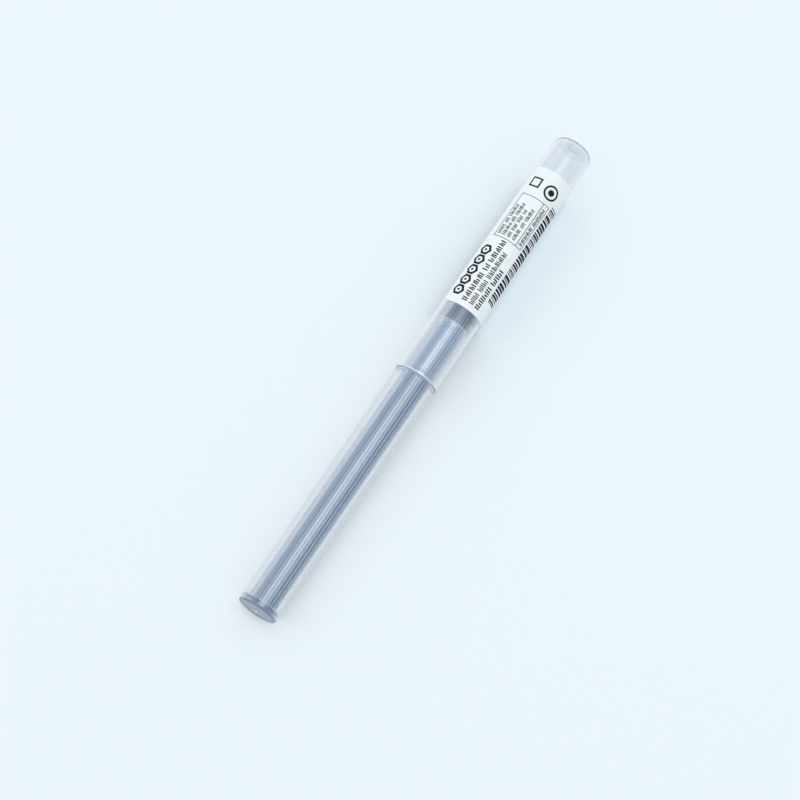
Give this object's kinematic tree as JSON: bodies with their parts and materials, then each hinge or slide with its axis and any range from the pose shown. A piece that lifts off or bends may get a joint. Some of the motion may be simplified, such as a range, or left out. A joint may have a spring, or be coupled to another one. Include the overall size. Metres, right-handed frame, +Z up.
{
  "type": "pencil lead refill tube",
  "caption": "Slim milky plastic tube of loose graphite pencil leads, closed at one end, with a long pull-off cap wrapped in a paper label.",
  "frame": {"origin": "midway along the closed tube, directly below its axis, at the height of the surface that it lies on", "axes": "+X along the tube's axis from the closed end of the body to the closed end of the cap; +Z up, away from the surface that it lies on"},
  "size_m": [0.094, 0.0076, 0.0077],
  "materials": {
    "milky_plastic": "translucent natural polypropylene, glossy, slightly milky",
    "label_paper": null,
    "graphite": "satin dark grey pencil lead with a faint metallic sheen"
  },
  "bodies": {
    "body_tube": {"body_tube": "milky_plastic"},
    "cap": {"cap": "milky_plastic", "label": "label_paper"},
    "lead_01": {"lead_01": "graphite"},
    "lead_02": {"lead_02": "graphite"},
    "lead_03": {"lead_03": "graphite"},
    "lead_04": {"lead_04": "graphite"},
    "lead_05": {"lead_05": "graphite"},
    "lead_06": {"lead_06": "graphite"},
    "lead_07": {"lead_07": "graphite"},
    "lead_08": {"lead_08": "graphite"},
    "lead_09": {"lead_09": "graphite"},
    "lead_10": {"lead_10": "graphite"},
    "lead_11": {"lead_11": "graphite"},
    "lead_12": {"lead_12": "graphite"},
    "lead_13": {"lead_13": "graphite"},
    "lead_14": {"lead_14": "graphite"},
    "lead_15": {"lead_15": "graphite"},
    "lead_16": {"lead_16": "graphite"},
    "lead_17": {"lead_17": "graphite"},
    "lead_18": {"lead_18": "graphite"}
  },
  "joints": [
    {"name": "cap_slide", "type": "slide", "parent": "body_tube", "child": "cap", "axis": [1, 0, 0], "range_m": [0, 0.05]},
    {"name": "lead_01_slide", "type": "slide", "parent": "body_tube", "child": "lead_01", "axis": [1, 0, 0], "range_m": [0, 0.0316]},
    {"name": "lead_02_slide", "type": "slide", "parent": "body_tube", "child": "lead_02", "axis": [1, 0, 0], "range_m": [0, 0.0316]},
    {"name": "lead_03_slide", "type": "slide", "parent": "body_tube", "child": "lead_03", "axis": [1, 0, 0], "range_m": [0, 0.0316]},
    {"name": "lead_04_slide", "type": "slide", "parent": "body_tube", "child": "lead_04", "axis": [1, 0, 0], "range_m": [0, 0.0316]},
    {"name": "lead_05_slide", "type": "slide", "parent": "body_tube", "child": "lead_05", "axis": [1, 0, 0], "range_m": [0, 0.0316]},
    {"name": "lead_06_slide", "type": "slide", "parent": "body_tube", "child": "lead_06", "axis": [1, 0, 0], "range_m": [0, 0.0316]},
    {"name": "lead_07_slide", "type": "slide", "parent": "body_tube", "child": "lead_07", "axis": [1, 0, 0], "range_m": [0, 0.0316]},
    {"name": "lead_08_slide", "type": "slide", "parent": "body_tube", "child": "lead_08", "axis": [1, 0, 0], "range_m": [0, 0.0316]},
    {"name": "lead_09_slide", "type": "slide", "parent": "body_tube", "child": "lead_09", "axis": [1, 0, 0], "range_m": [0, 0.0316]},
    {"name": "lead_10_slide", "type": "slide", "parent": "body_tube", "child": "lead_10", "axis": [1, 0, 0], "range_m": [0, 0.0316]},
    {"name": "lead_11_slide", "type": "slide", "parent": "body_tube", "child": "lead_11", "axis": [1, 0, 0], "range_m": [0, 0.0316]},
    {"name": "lead_12_slide", "type": "slide", "parent": "body_tube", "child": "lead_12", "axis": [1, 0, 0], "range_m": [0, 0.0316]},
    {"name": "lead_13_slide", "type": "slide", "parent": "body_tube", "child": "lead_13", "axis": [1, 0, 0], "range_m": [0, 0.0316]},
    {"name": "lead_14_slide", "type": "slide", "parent": "body_tube", "child": "lead_14", "axis": [1, 0, 0], "range_m": [0, 0.0316]},
    {"name": "lead_15_slide", "type": "slide", "parent": "body_tube", "child": "lead_15", "axis": [1, 0, 0], "range_m": [0, 0.0316]},
    {"name": "lead_16_slide", "type": "slide", "parent": "body_tube", "child": "lead_16", "axis": [1, 0, 0], "range_m": [0, 0.0316]},
    {"name": "lead_17_slide", "type": "slide", "parent": "body_tube", "child": "lead_17", "axis": [1, 0, 0], "range_m": [0, 0.0316]},
    {"name": "lead_18_slide", "type": "slide", "parent": "body_tube", "child": "lead_18", "axis": [1, 0, 0], "range_m": [0, 0.0316]}
  ]
}
